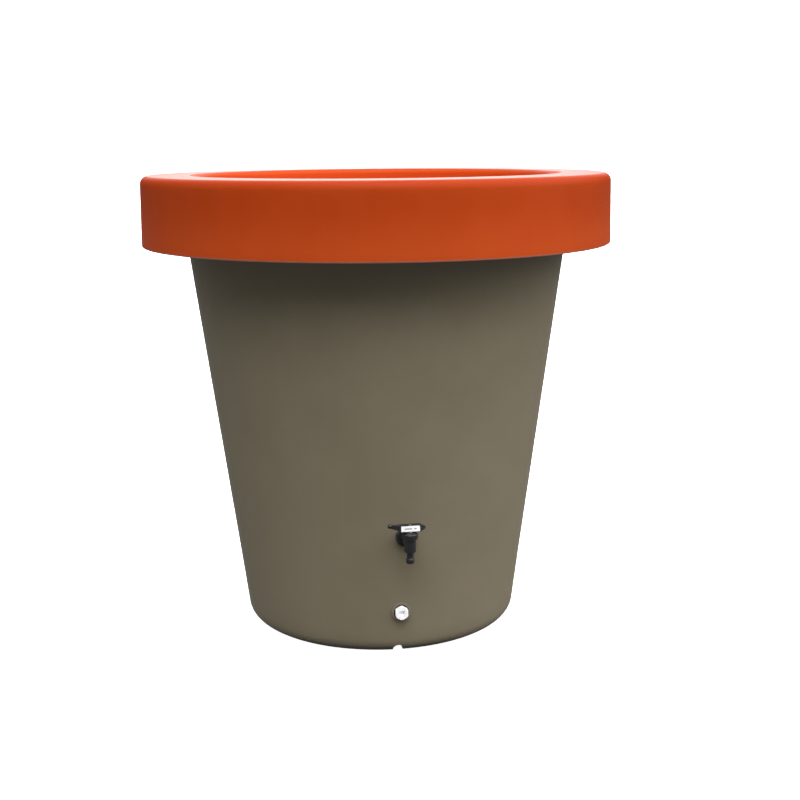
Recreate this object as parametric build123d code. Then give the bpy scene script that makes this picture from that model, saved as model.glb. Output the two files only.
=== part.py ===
from build123d import *
import math
import os

# Rain barrel: a tapered moulded tank with a wide flat-topped collar lid, a debris strainer
# in the lid's bowl, a quarter-turn spigot, a screw-in drain plug and a rear overflow.
# Millimetres, +Z up, origin at the centre of the foot on the floor.
# The spigot, the drain plug and the drain channel face -Y and the overflow faces +Y.

# Tank
TANK_HEIGHT = 887.0
TANK_FOOT_R = 270.0            # wall radius carried straight down to the floor
TANK_TAPER = 102.0 / 766.0     # wall radius gained per millimetre of height
TANK_WALL = 5.0
TANK_BOTTOM_FILLET = 30.0
FOOT_INNER_R = 188.0
BASE_RISE = 12.0
LIP_R = 405.0
LIP_THICKNESS = 6.0
CHANNEL_HALF_WIDTH = 10.0
CHANNEL_TOP_Z = 17.0           # crown of the arch
CHANNEL_END_Y = -180.0
CHANNEL_BEARING = -0.7         # degrees about the tank's axis

# Collar lid
LID_HEIGHT = 892.0
COLLAR_R_TOP = 456.0
COLLAR_R_BOTTOM = 458.0
COLLAR_BOTTOM = 758.0
COLLAR_EDGE_FILLET = 16.0
LID_WALL = 5.0
HEM_INNER_R = 442.0
BOWL_R_TOP = 355.0
BOWL_R_BOTTOM = 336.0
BOWL_FLOOR_OUTER_Z = 754.0
BOWL_FLOOR_INNER_Z = 734.0
SEAT_R = 113.0
SEAT_Z = 722.0
INLET_R = 96.0
RIB_INNER_R = 374.5
RIB_OUTER_R = 379.5
RIB_DEPTH = 15.0

# Strainer in the lid's inlet
FRAME_R = 112.0
FRAME_THICKNESS = 6.0
FRAME_OPENING_R = 86.0
FRAME_SKIRT_R = 95.0
FRAME_SKIRT_DEPTH = 16.0
SPOKE_WIDTH = 8.0
SPOKE_COUNT = 4
MESH_R = 109.0
MESH_THICKNESS = 1.2
MESH_HOLE_R = 4.0
MESH_PITCH = 11.0
CLAMP_R = 110.0
CLAMP_THICKNESS = 2.8
STRAINER_SCREW_COUNT = 8
STRAINER_SCREW_R = 1.6
STRAINER_SCREW_PCR = 100.0
KNOB_R = 16.0
KNOB_HEIGHT = 24.0

# Spigot
SPIGOT_BEARING = 1.1           # degrees about the tank's axis
SPIGOT_Y = -352.0              # vertical axis of the valve barrel
SPIGOT_Z = 241.0               # height of the shank
FLANGE_FACE_Y = -307.0
FLANGE_R = 17.0
FLANGE_THICKNESS = 5.0
GASKET_R = 18.0
INNER_SEAL_FACE_Y = -292.0
SHANK_CREST_R = 10.45
SHANK_ROOT_R = 9.3
SHANK_PITCH = 1.814
SHANK_BORE_R = 6.0
SHANK_END_Y = -274.0
WALL_HOLE_R = 10.8
RUNNING_GAP = 0.05
LOCKNUT_ACROSS_FLATS = 30.0
LOCKNUT_THICKNESS = 8.0
BARREL_R = 10.8
BARREL_TOP_Z = 257.0
BARREL_BOTTOM_Z = 229.5
NOZZLE_R = 7.5                 # the barb at the end of the outlet
NOZZLE_NECK_R = 6.2
NOZZLE_TIP_Z = 207.0
BARB_TOP_Z = 214.5
NOZZLE_TOP_Z = 225.0
NOZZLE_BORE_R = 5.0
VALVE_BORE_R = 8.0
VALVE_SEAT_Z = 231.0
O_RING_WIRE_R = 0.75
O_RING_HEIGHTS = (233.5, 249.0)
BONNET_R = 14.5
BONNET_BOTTOM_Z = 253.0
BONNET_TOP_Z = 265.5
STEM_R = 4.5
STEM_SQUARE = 6.0
STEM_SQUARE_HEIGHT = 8.0

# Spigot handle
HANDLE_BOTTOM_Z = 267.5
HANDLE_TOP_Z = 279.3
HANDLE_HUB_HALF = 18.0
HANDLE_TAIL_X = -36.5
HANDLE_NOSE_X = 28.0
HANDLE_DEPTH = 12.0
TAIL_BALL_R = 4.2
LABEL_SIZE = (34.0, 0.6, 10.3)
HANDLE_SCREW_R = 2.0
HANDLE_SCREW_HEAD_R = 4.0
HANDLE_SCREW_SINK = 2.6         # the screw's head sits just below the handle's top

# Drain
DRAIN_Z = 88.5
DRAIN_FACE_Y = -284.5
DRAIN_BOSS_R = 18.0
DRAIN_INSERT_R = 14.0
DRAIN_INSERT_LENGTH = 24.0
DRAIN_CREST_R = 10.45
DRAIN_ROOT_R = 9.3
DRAIN_PITCH = 1.814
DRAIN_THREAD_LENGTH = 15.0
DRAIN_HEX_ACROSS_FLATS = 23.6
DRAIN_HEX_CORNER_R = 12.9
DRAIN_HEX_THICKNESS = 8.0
DRAIN_SOCKET = 10.0
DRAIN_SOCKET_DEPTH = 3.0
DRAIN_SEAL_R = 14.5
DRAIN_SEAL_THICKNESS = 1.5

# Overflow
OVERFLOW_Z = 680.0
OVERFLOW_FLANGE_Y = 366.5
OVERFLOW_FLANGE_R = 33.0
OVERFLOW_FLANGE_THICKNESS = 6.0
OVERFLOW_CREST_R = 23.7
OVERFLOW_ROOT_R = 22.2
OVERFLOW_PITCH = 2.309
OVERFLOW_BORE_R = 16.0
OVERFLOW_HOLE_R = 24.2
OVERFLOW_NOZZLE_R = 19.0
OVERFLOW_TIP_Y = 445.5
OVERFLOW_END_Y = 326.5
OVERFLOW_SEAL_FACE_Y = 349.5
OVERFLOW_NUT_ACROSS_FLATS = 62.0
OVERFLOW_NUT_THICKNESS = 12.0


def turned(points, radii=0):
    """Solid of revolution about Z from a closed outline of (radius, height) points."""
    outline = FilletPolyline(*[(r, 0, z) for r, z in points], radius=radii, close=True)
    return revolve(make_face(outline), Axis.Z, 360)


def rod(radius, low, high):
    """Cylinder about Z between two heights."""
    return Pos(0, 0, (low + high) / 2) * Cylinder(radius, high - low)


def to_front(shape, y, z):
    """Turn a piece made along +Z so that it points to -Y, with its base at (0, y, z)."""
    return Pos(0, y, z) * Rot(90, 0, 0) * shape


def to_rear(shape, y, z):
    """Turn a piece made along +Z so that it points to +Y, with its base at (0, y, z)."""
    return Pos(0, y, z) * Rot(-90, 0, 0) * shape


def hex_prism(across_flats, low, high, chamfer_top=1.0):
    """Hexagonal prism about Z with the corners turned off at its top end."""
    corner = across_flats / math.sqrt(3)
    prism = extrude(Plane.XY.offset(low) * RegularPolygon(corner, 6), high - low)
    ease = 0.5 * across_flats + 0.2
    cone = turned([(0, low), (corner + 1, low), (corner + 1, high - chamfer_top - 1),
                   (ease, high), (0, high)])
    return prism & cone


def threaded_rod(crest, root, pitch, low, high):
    """Rod about Z whose thread is drawn as a row of rounded rings."""
    count = int((high - low - 1.0) / pitch)
    points = [(0, low), (root, low)]
    for index in range(count):
        start = low + 0.5 + index * pitch
        points.append((root, start))
        points.append((crest, start + 0.35 * pitch))
        points.append((crest, start + 0.55 * pitch))
        points.append((root, start + 0.9 * pitch))
    points.append((root, high))
    points.append((0, high))
    return turned(points)


def tank_radius(z, inset=0.0):
    """Radius of the tank's wall at a height, moved inward by an inset."""
    return TANK_FOOT_R + TANK_TAPER * z - inset * math.hypot(1, TANK_TAPER)


def tank_outside():
    lip_z = TANK_HEIGHT - LIP_THICKNESS
    points = [(0, BASE_RISE), (FOOT_INNER_R - 34, BASE_RISE), (FOOT_INNER_R, 0),
              (TANK_FOOT_R, 0), (tank_radius(lip_z), lip_z), (LIP_R, lip_z),
              (LIP_R, TANK_HEIGHT), (0, TANK_HEIGHT)]
    return turned(points, [0, 20, 6, TANK_BOTTOM_FILLET, 5, 2.2, 2.8, 0])


def tank_inside():
    top = TANK_HEIGHT + 10
    floor = TANK_WALL
    points = [(0, BASE_RISE + floor), (FOOT_INNER_R - 32, BASE_RISE + floor),
              (FOOT_INNER_R + 2, floor), (tank_radius(floor, TANK_WALL), floor),
              (tank_radius(top, TANK_WALL), top), (0, top)]
    return turned(points, [0, 15, 10, TANK_BOTTOM_FILLET - TANK_WALL, 0, 0])


def channel_arch(extra):
    """Arch-shaped bar along the drain channel, thickened by an extra amount all round."""
    half_width = CHANNEL_HALF_WIDTH + extra
    crown_z = CHANNEL_TOP_Z - CHANNEL_HALF_WIDTH
    length = 150
    middle_y = CHANNEL_END_Y + extra - length / 2
    bar = Pos(0, middle_y, crown_z / 2 - 5) * Box(2 * half_width, length, crown_z + 10)
    bar = bar + Pos(0, middle_y, crown_z) * Rot(90, 0, 0) * Cylinder(half_width, length)
    return Rot(0, 0, CHANNEL_BEARING) * bar


def tank_void():
    """The tank's inside, kept clear of the wall that wraps the drain channel and boss."""
    wrap = channel_arch(TANK_WALL)
    boss = to_front(rod(DRAIN_BOSS_R + 2, 0, 30), DRAIN_FACE_Y + DRAIN_INSERT_LENGTH - 2, DRAIN_Z)
    return tank_inside() - wrap - boss


def barrel_body():
    boss = to_front(rod(DRAIN_BOSS_R, 0, 8), DRAIN_FACE_Y + 8, DRAIN_Z)
    body = tank_outside() + boss - tank_void()
    channel = channel_arch(0)
    spigot_hole = Rot(0, 0, SPIGOT_BEARING) * to_front(rod(WALL_HOLE_R, 0, 60), -270, SPIGOT_Z)
    overflow_hole = to_rear(rod(OVERFLOW_HOLE_R, 0, 80), 320, OVERFLOW_Z)
    return body - channel - spigot_hole - overflow_hole - drain_insert_outside()


def drain_insert_outside():
    """Outline of the drain insert: a plain barrel with a gripping collar round its middle."""
    length = DRAIN_INSERT_LENGTH
    points = [(0, 0), (DRAIN_INSERT_R, 0), (DRAIN_INSERT_R, 8), (DRAIN_INSERT_R + 1.8, 9),
              (DRAIN_INSERT_R + 1.8, 13), (DRAIN_INSERT_R, 14), (DRAIN_INSERT_R, length),
              (0, length)]
    return to_front(turned(points), DRAIN_FACE_Y + length, DRAIN_Z)


def drain_insert():
    bore_r = DRAIN_CREST_R + RUNNING_GAP
    bore = to_front(rod(bore_r, -1, DRAIN_INSERT_LENGTH + 1), DRAIN_FACE_Y + DRAIN_INSERT_LENGTH,
                    DRAIN_Z)
    return drain_insert_outside() - bore


def drain_seal():
    ring = rod(DRAIN_SEAL_R, 0, DRAIN_SEAL_THICKNESS)
    ring = ring - rod(DRAIN_CREST_R + RUNNING_GAP, -1, 3)
    return to_front(ring, DRAIN_FACE_Y, DRAIN_Z)


def drain_plug():
    base = DRAIN_SEAL_THICKNESS
    top = base + DRAIN_HEX_THICKNESS
    head = Rot(0, 0, 30) * hex_prism(DRAIN_HEX_ACROSS_FLATS, base, top, 1.5)
    head = head & rod(DRAIN_HEX_CORNER_R, base, top)
    stud = threaded_rod(DRAIN_CREST_R, DRAIN_ROOT_R, DRAIN_PITCH, -DRAIN_THREAD_LENGTH, base)
    socket = Pos(0, 0, top) * Box(DRAIN_SOCKET, DRAIN_SOCKET, 2 * DRAIN_SOCKET_DEPTH)
    hollow = rod(6.0, -DRAIN_THREAD_LENGTH - 1, -1)
    return to_front(head + stud - socket - hollow, DRAIN_FACE_Y, DRAIN_Z)


def centring_rib():
    top = LID_HEIGHT - LID_WALL
    points = [(RIB_INNER_R, top - RIB_DEPTH), (RIB_OUTER_R, top - RIB_DEPTH),
              (RIB_OUTER_R, top + 1), (RIB_INNER_R, top + 1)]
    return turned(points, [1.5, 1.5, 0, 0])


def collar_lid():
    wall = LID_WALL
    under = LID_HEIGHT - wall
    wall_slope = (BOWL_R_TOP - BOWL_R_BOTTOM) / (LID_HEIGHT - BOWL_FLOOR_OUTER_Z)
    floor_slope = (BOWL_FLOOR_OUTER_Z - BOWL_FLOOR_INNER_Z) / (BOWL_R_BOTTOM - SEAT_R)
    back_top = BOWL_R_TOP + wall * math.hypot(1, wall_slope)
    under_floor = BOWL_FLOOR_INNER_Z - wall * math.hypot(1, floor_slope)
    seat_back_r = SEAT_R + wall
    seat_back_z = under_floor + floor_slope * (seat_back_r - SEAT_R)
    drop = LID_HEIGHT - under_floor + floor_slope * SEAT_R
    corner_r = (back_top - wall_slope * drop) / (1 - wall_slope * floor_slope)
    corner_z = under_floor + floor_slope * (corner_r - SEAT_R)
    points = [
        (HEM_INNER_R, COLLAR_BOTTOM), (COLLAR_R_BOTTOM, COLLAR_BOTTOM),
        (COLLAR_R_TOP, LID_HEIGHT), (BOWL_R_TOP, LID_HEIGHT),
        (BOWL_R_BOTTOM, BOWL_FLOOR_OUTER_Z), (SEAT_R, BOWL_FLOOR_INNER_Z),
        (SEAT_R, SEAT_Z), (INLET_R, SEAT_Z), (INLET_R, SEAT_Z - 5.5),
        (seat_back_r, SEAT_Z - 5.5), (seat_back_r, seat_back_z), (corner_r, corner_z),
        (back_top - wall_slope * wall, under), (COLLAR_R_TOP - wall, under),
        (COLLAR_R_BOTTOM - wall, COLLAR_BOTTOM + wall), (HEM_INNER_R, COLLAR_BOTTOM + wall),
    ]
    radii = [1.5, 3.5, COLLAR_EDGE_FILLET, 12, 22, 2, 0.8, 1, 1, 3, 1, 27, 7,
             COLLAR_EDGE_FILLET - wall, 2, 1.5]
    return turned(points, radii) + centring_rib()


def around(shape, count, start=0.0):
    """Copies of a shape at equal steps about Z."""
    return [Rot(0, 0, start + 360.0 / count * index) * shape for index in range(count)]


def screw_spots():
    spot = Pos(STRAINER_SCREW_PCR, 0, 0)
    step = 360.0 / STRAINER_SCREW_COUNT
    return [Rot(0, 0, step * (index + 0.5)) * spot for index in range(STRAINER_SCREW_COUNT)]


def strainer_frame():
    top = SEAT_Z + FRAME_THICKNESS
    points = [(FRAME_OPENING_R, SEAT_Z), (FRAME_SKIRT_R - 3.5, SEAT_Z - FRAME_SKIRT_DEPTH),
              (FRAME_SKIRT_R, SEAT_Z - FRAME_SKIRT_DEPTH), (FRAME_SKIRT_R, SEAT_Z),
              (FRAME_R, SEAT_Z), (FRAME_R, top), (FRAME_OPENING_R, top)]
    frame = turned(points, [3, 1, 1, 0, 1.5, 1, 0.5])
    arm = Pos(FRAME_OPENING_R / 2 + 2, 0, SEAT_Z + 3) * Box(FRAME_OPENING_R, SPOKE_WIDTH, 6)
    for spoke in around(arm, SPOKE_COUNT):
        frame = frame + spoke
    frame = frame + rod(15, SEAT_Z - 4, top) - rod(3.0, SEAT_Z - 5, top + 1)
    for spot in screw_spots():
        frame = frame - spot * rod(STRAINER_SCREW_R, SEAT_Z + 1.2, top + 1)
    return frame


def mesh_holes(low, high):
    """Drainage holes on a triangular grid, leaving the rim and the centre plain."""
    holes = []
    row_step = MESH_PITCH * math.sqrt(3) / 2
    rows = int(MESH_R / row_step)
    for row in range(-rows, rows + 1):
        shift = 0.5 * MESH_PITCH * (row % 2)
        for column in range(-rows - 1, rows + 2):
            x = column * MESH_PITCH + shift
            y = row * row_step
            if 20 < math.hypot(x, y) < FRAME_OPENING_R - 1:
                holes.append(Pos(x, y, 0) * rod(MESH_HOLE_R, low, high))
    return holes


def strainer_mesh():
    low = SEAT_Z + FRAME_THICKNESS
    high = low + MESH_THICKNESS
    cuts = mesh_holes(low - 1, high + 1)
    cuts.append(rod(3.0, low - 1, high + 1))
    for spot in screw_spots():
        cuts.append(spot * rod(STRAINER_SCREW_R, low - 1, high + 1))
    return rod(MESH_R, low, high) - cuts


def strainer_clamp_ring():
    low = SEAT_Z + FRAME_THICKNESS + MESH_THICKNESS
    high = low + CLAMP_THICKNESS
    points = [(90, low), (CLAMP_R, low), (CLAMP_R, high), (90, high)]
    ring = turned(points, [0, 0, 1.2, 1.2])
    for spot in screw_spots():
        ring = ring - spot * rod(STRAINER_SCREW_R, low - 1, high + 1)
    return ring


def strainer_screw():
    head = SEAT_Z + FRAME_THICKNESS + MESH_THICKNESS + CLAMP_THICKNESS
    points = [(0, SEAT_Z + 1.2), (STRAINER_SCREW_R, SEAT_Z + 1.2), (STRAINER_SCREW_R, head),
              (3.2, head), (3.2, head + 2.0), (0, head + 2.0)]
    screw = turned(points, [0, 0, 0, 0, 1.2, 0])
    slot = Box(4.4, 0.8, 1.8) + Box(0.8, 4.4, 1.8)
    return screw - Pos(0, 0, head + 2.0) * slot


def strainer_screws():
    return Compound(children=[spot * strainer_screw() for spot in screw_spots()])


def strainer_knob():
    low = SEAT_Z + FRAME_THICKNESS + MESH_THICKNESS
    high = low + KNOB_HEIGHT
    points = [(0, SEAT_Z - 2), (3.0, SEAT_Z - 2), (3.0, low), (13, low), (13, low + 2.5),
              (6.5, low + 6), (6.5, high - 11), (KNOB_R, high - 8), (KNOB_R, high), (0, high)]
    return turned(points, [0, 0, 0, 0.5, 1, 3, 3, 2, 4, 0])


def tank_cone(inset):
    """Tall plain cone on the tank's wall surface, used to shape the wall seals."""
    return turned([(0, 50), (tank_radius(50, inset), 50), (tank_radius(860, inset), 860), (0, 860)])


def spigot_outer_gasket():
    ring = rod(GASKET_R, 0, 20) - rod(SHANK_CREST_R, -1, 21)
    return to_front(ring, FLANGE_FACE_Y + 20, SPIGOT_Z) - tank_cone(0)


def spigot_inner_gasket():
    ring = rod(GASKET_R - 1, 0, 20) - rod(SHANK_CREST_R, -1, 21)
    return to_front(ring, INNER_SEAL_FACE_Y, SPIGOT_Z) & tank_cone(TANK_WALL)


def spigot_locknut():
    bore_r = SHANK_CREST_R
    nut = hex_prism(LOCKNUT_ACROSS_FLATS, 0, LOCKNUT_THICKNESS) - rod(bore_r, -1, 20)
    return to_rear(nut, INNER_SEAL_FACE_Y, SPIGOT_Z)


def spigot_barrel():
    """Upright valve barrel running down into the outlet, which ends in a hose barb."""
    points = [(0, NOZZLE_TIP_Z), (NOZZLE_R, NOZZLE_TIP_Z), (NOZZLE_R, BARB_TOP_Z),
              (NOZZLE_NECK_R, BARB_TOP_Z + 3), (NOZZLE_NECK_R, NOZZLE_TOP_Z),
              (BARREL_R, BARREL_BOTTOM_Z), (BARREL_R, BARREL_TOP_Z), (0, BARREL_TOP_Z)]
    return Pos(0, SPIGOT_Y, 0) * turned(points, [0, 1.2, 2, 1, 0.5, 2.5, 0.6, 0])


def spigot_body():
    flange_points = [(0, 0), (FLANGE_R, 0), (FLANGE_R, FLANGE_THICKNESS), (0, FLANGE_THICKNESS)]
    flange = to_front(turned(flange_points, [0, 0.6, 1.5, 0]), FLANGE_FACE_Y, SPIGOT_Z)
    neck_points = [(0, 0), (12.5, 0), (9.4, 9), (9.4, 45), (0, 45)]
    neck = to_front(turned(neck_points, [0, 0, 6, 0, 0]), FLANGE_FACE_Y - 4, SPIGOT_Z)
    shank = threaded_rod(SHANK_CREST_R, SHANK_ROOT_R, SHANK_PITCH, 0, SHANK_END_Y - FLANGE_FACE_Y)
    shank = to_rear(shank, FLANGE_FACE_Y, SPIGOT_Z)
    axis = Pos(0, SPIGOT_Y, 0)
    flow = to_front(rod(SHANK_BORE_R, 0, -SPIGOT_Y), SHANK_END_Y + 1, SPIGOT_Z)
    flow = flow & (Pos(0, -300, SPIGOT_Z) * Box(40, 100, 40))
    body = spigot_barrel() + (neck - axis * rod(BARREL_R - 1, 200, 300)) + flange + shank
    body = body - axis * rod(VALVE_BORE_R, VALVE_SEAT_Z, BARREL_TOP_Z + 1)
    return body - axis * rod(NOZZLE_BORE_R, NOZZLE_TIP_Z - 1, VALVE_SEAT_Z + 1) - flow


def spigot_valve_plug():
    radius = VALVE_BORE_R - RUNNING_GAP
    low = VALVE_SEAT_Z + 0.05
    shoulder = BARREL_TOP_Z - 1
    plug = rod(radius, low, shoulder) + rod(STEM_R, shoulder, HANDLE_BOTTOM_Z + 0.5)
    height = STEM_SQUARE_HEIGHT
    square = Pos(0, 0, HANDLE_BOTTOM_Z + height / 2) * Box(STEM_SQUARE, STEM_SQUARE, height)
    plug = plug + square - rod(NOZZLE_BORE_R, low - 1, SPIGOT_Z + 4)
    plug = plug - Pos(radius / 2, 0, SPIGOT_Z) * Rot(0, 90, 0) * Cylinder(4.5, radius)
    for ring_z in O_RING_HEIGHTS:
        plug = plug - o_ring_groove(ring_z)
    plug = plug - rod(HANDLE_SCREW_R, HANDLE_BOTTOM_Z, HANDLE_BOTTOM_Z + height + 1)
    return Pos(0, SPIGOT_Y, 0) * plug


def o_ring_groove(height):
    outer = VALVE_BORE_R + 1
    inner = VALVE_BORE_R - RUNNING_GAP - 2 * O_RING_WIRE_R
    half = O_RING_WIRE_R + 0.1
    return rod(outer, height - half, height + half) - rod(inner, height - 2, height + 2)


def spigot_o_rings():
    major = VALVE_BORE_R - RUNNING_GAP - O_RING_WIRE_R
    rings = [Pos(0, SPIGOT_Y, height) * Torus(major, O_RING_WIRE_R) for height in O_RING_HEIGHTS]
    return Compound(rings)


def spigot_bonnet():
    inner = BARREL_R
    points = [(STEM_R + 0.06, BARREL_TOP_Z), (inner, BARREL_TOP_Z), (inner, BONNET_BOTTOM_Z),
              (BONNET_R - 1.2, BONNET_BOTTOM_Z), (BONNET_R, BONNET_BOTTOM_Z + 2),
              (BONNET_R, BONNET_TOP_Z - 3), (9.0, BONNET_TOP_Z), (STEM_R + 0.06, BONNET_TOP_Z)]
    bonnet = turned(points, [0, 0, 0, 0.4, 0.8, 1.5, 1, 0])
    flute = Pos(BONNET_R + 0.9, 0, 0) * rod(1.6, BONNET_BOTTOM_Z - 1, BONNET_TOP_Z - 3.5)
    for cut in around(flute, 16):
        bonnet = bonnet - cut
    return Pos(0, SPIGOT_Y, 0) * bonnet


def spigot_handle():
    depth = HANDLE_DEPTH / 2
    plan_points = [(HANDLE_TAIL_X, -2.6), (-HANDLE_HUB_HALF - 4, -depth + 2.5),
                   (-HANDLE_HUB_HALF, -depth), (HANDLE_HUB_HALF + 1, -depth),
                   (HANDLE_NOSE_X, -3), (HANDLE_NOSE_X, 3), (HANDLE_HUB_HALF + 1, depth),
                   (-HANDLE_HUB_HALF, depth), (-HANDLE_HUB_HALF - 4, depth - 2.5),
                   (HANDLE_TAIL_X, 2.6)]
    plan = FilletPolyline(*plan_points, radius=[1, 2, 0, 0, 2.5, 2.5, 2, 2, 2, 1], close=True)
    plan = extrude(Plane.XY.offset(260) * make_face(plan), 40)
    low = HANDLE_BOTTOM_Z
    high = HANDLE_TOP_Z
    side_points = [(HANDLE_TAIL_X, high - 4.2), (-HANDLE_HUB_HALF, low + 0.8),
                   (-HANDLE_HUB_HALF + 3, low), (HANDLE_HUB_HALF + 1, low),
                   (HANDLE_NOSE_X, low + 4), (HANDLE_NOSE_X, high - 4),
                   (HANDLE_HUB_HALF + 1, high), (HANDLE_TAIL_X, high)]
    corners = [(x, -20, z) for x, z in side_points]
    side = FilletPolyline(*corners, radius=[1, 2, 1, 1, 2, 2, 2, 1], close=True)
    side = extrude(make_face(side), 40, dir=(0, 1, 0))
    handle = plan & side
    handle = handle + Pos(HANDLE_TAIL_X, 0, high - 1.4) * Sphere(TAIL_BALL_R)
    socket_z = low + STEM_SQUARE_HEIGHT / 2 - 0.1
    socket = Pos(0, 0, socket_z) * Box(STEM_SQUARE, STEM_SQUARE, STEM_SQUARE_HEIGHT + 0.2)
    handle = handle - socket - rod(HANDLE_SCREW_R, low, high + 1)
    handle = handle - rod(HANDLE_SCREW_HEAD_R + 0.5, high - HANDLE_SCREW_SINK, high + 1)
    handle = handle - rod(STEM_R + 0.3, low - 1, low + 0.7)
    return Pos(0, SPIGOT_Y, 0) * handle


def handle_label():
    width, thickness, height = LABEL_SIZE
    y = SPIGOT_Y - HANDLE_DEPTH / 2 - thickness / 2
    plate = Pos(0, y, (HANDLE_BOTTOM_Z + HANDLE_TOP_Z) / 2) * Box(width, thickness, height)
    return fillet(plate.edges().filter_by(Axis.Y), 1.2)


def spigot_handle_screw():
    head = HANDLE_TOP_Z - HANDLE_SCREW_SINK
    points = [(0, HANDLE_BOTTOM_Z + 2), (HANDLE_SCREW_R, HANDLE_BOTTOM_Z + 2),
              (HANDLE_SCREW_R, head), (HANDLE_SCREW_HEAD_R, head),
              (HANDLE_SCREW_HEAD_R, head + 2.4), (0, head + 2.4)]
    screw = turned(points, [0, 0, 0, 0, 1.2, 0])
    slot = Box(5.6, 1.0, 2.2) + Box(1.0, 5.6, 2.2)
    return Pos(0, SPIGOT_Y, 0) * (screw - Pos(0, 0, head + 2.4) * slot)


def overflow_fitting():
    length = OVERFLOW_TIP_Y - OVERFLOW_FLANGE_Y
    thick = OVERFLOW_FLANGE_THICKNESS
    points = [(0, 0), (OVERFLOW_FLANGE_R, 0), (OVERFLOW_FLANGE_R, thick), (22.5, thick),
              (OVERFLOW_NOZZLE_R, thick + 8), (OVERFLOW_NOZZLE_R, length), (0, length)]
    outer = to_rear(turned(points, [0, 0.8, 2, 3, 3, 1, 0]), OVERFLOW_FLANGE_Y, OVERFLOW_Z)
    shank = threaded_rod(OVERFLOW_CREST_R, OVERFLOW_ROOT_R, OVERFLOW_PITCH, 0,
                         OVERFLOW_FLANGE_Y - OVERFLOW_END_Y)
    shank = to_front(shank, OVERFLOW_FLANGE_Y, OVERFLOW_Z)
    bore = to_rear(rod(OVERFLOW_BORE_R, 0, 140), OVERFLOW_END_Y - 5, OVERFLOW_Z)
    return outer + shank - bore


def overflow_outer_gasket():
    ring = rod(OVERFLOW_FLANGE_R + 1, 0, 30) - rod(OVERFLOW_CREST_R, -1, 31)
    return to_rear(ring, OVERFLOW_FLANGE_Y - 30, OVERFLOW_Z) - tank_cone(0)


def overflow_inner_gasket():
    ring = rod(OVERFLOW_FLANGE_R - 1, 0, 30) - rod(OVERFLOW_CREST_R, -1, 31)
    return to_rear(ring, OVERFLOW_SEAL_FACE_Y, OVERFLOW_Z) & tank_cone(TANK_WALL)


def overflow_locknut():
    nut = hex_prism(OVERFLOW_NUT_ACROSS_FLATS, 0, OVERFLOW_NUT_THICKNESS, 2)
    nut = nut - rod(OVERFLOW_CREST_R, -1, 20)
    return to_front(nut, OVERFLOW_SEAL_FACE_Y, OVERFLOW_Z)


PIECES = {
    "barrel_body": barrel_body,
    "collar_lid": collar_lid,
    "strainer_frame": strainer_frame,
    "strainer_mesh": strainer_mesh,
    "strainer_clamp_ring": strainer_clamp_ring,
    "strainer_screws": strainer_screws,
    "strainer_knob": strainer_knob,
    "drain_insert": drain_insert,
    "drain_plug": drain_plug,
    "drain_seal": drain_seal,
    "overflow_fitting": overflow_fitting,
    "overflow_outer_gasket": overflow_outer_gasket,
    "overflow_inner_gasket": overflow_inner_gasket,
    "overflow_locknut": overflow_locknut,
}

# These are drawn facing -Y and then turned to the spigot's bearing.
SPIGOT_PIECES = {
    "spigot_body": spigot_body,
    "spigot_outer_gasket": spigot_outer_gasket,
    "spigot_inner_gasket": spigot_inner_gasket,
    "spigot_locknut": spigot_locknut,
    "spigot_valve_plug": spigot_valve_plug,
    "spigot_o_rings": spigot_o_rings,
    "spigot_bonnet": spigot_bonnet,
    "spigot_handle": spigot_handle,
    "spigot_handle_screw": spigot_handle_screw,
    "handle_label": handle_label,
}


def save(name, shape):
    export_step(shape, f"parts/{name}.step")
    print(name, "solids", len(shape.solids()), "volume", round(shape.volume))


os.makedirs("parts", exist_ok=True)
for name, make in PIECES.items():
    save(name, make())
for name, make in SPIGOT_PIECES.items():
    save(name, Rot(0, 0, SPIGOT_BEARING) * make())
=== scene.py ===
import math

import bmesh
import bpy
from mathutils import Matrix, Vector, noise


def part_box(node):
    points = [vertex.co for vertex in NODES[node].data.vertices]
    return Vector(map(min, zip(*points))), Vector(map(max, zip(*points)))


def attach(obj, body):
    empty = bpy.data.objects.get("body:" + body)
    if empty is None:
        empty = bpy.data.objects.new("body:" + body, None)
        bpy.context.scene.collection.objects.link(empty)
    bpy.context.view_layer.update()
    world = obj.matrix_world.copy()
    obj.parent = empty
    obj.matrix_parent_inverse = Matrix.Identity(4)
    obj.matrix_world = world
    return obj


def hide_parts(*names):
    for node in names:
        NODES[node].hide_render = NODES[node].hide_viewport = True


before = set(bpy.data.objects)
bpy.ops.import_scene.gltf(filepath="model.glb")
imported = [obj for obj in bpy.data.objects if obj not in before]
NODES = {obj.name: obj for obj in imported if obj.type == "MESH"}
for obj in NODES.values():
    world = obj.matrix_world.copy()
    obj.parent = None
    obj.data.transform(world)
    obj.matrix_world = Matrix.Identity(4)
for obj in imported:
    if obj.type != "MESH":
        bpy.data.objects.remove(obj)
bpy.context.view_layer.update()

# Looks of the rain barrel. Metres, +Z up, spigot towards -Y, origin under the foot's centre.

MM = 0.001

# Camera
CAMERA_DISTANCE = 2.5234
CAMERA_HEIGHT = 0.9568
CAMERA_BEARING = math.radians(7.65)     # the spigot faces this far to the camera's right
CAMERA_PITCH = 0.20354
CAMERA_YAW = 0.01723
CAMERA_ROLL = -0.00824
CAMERA_LENS = 56.925

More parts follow.
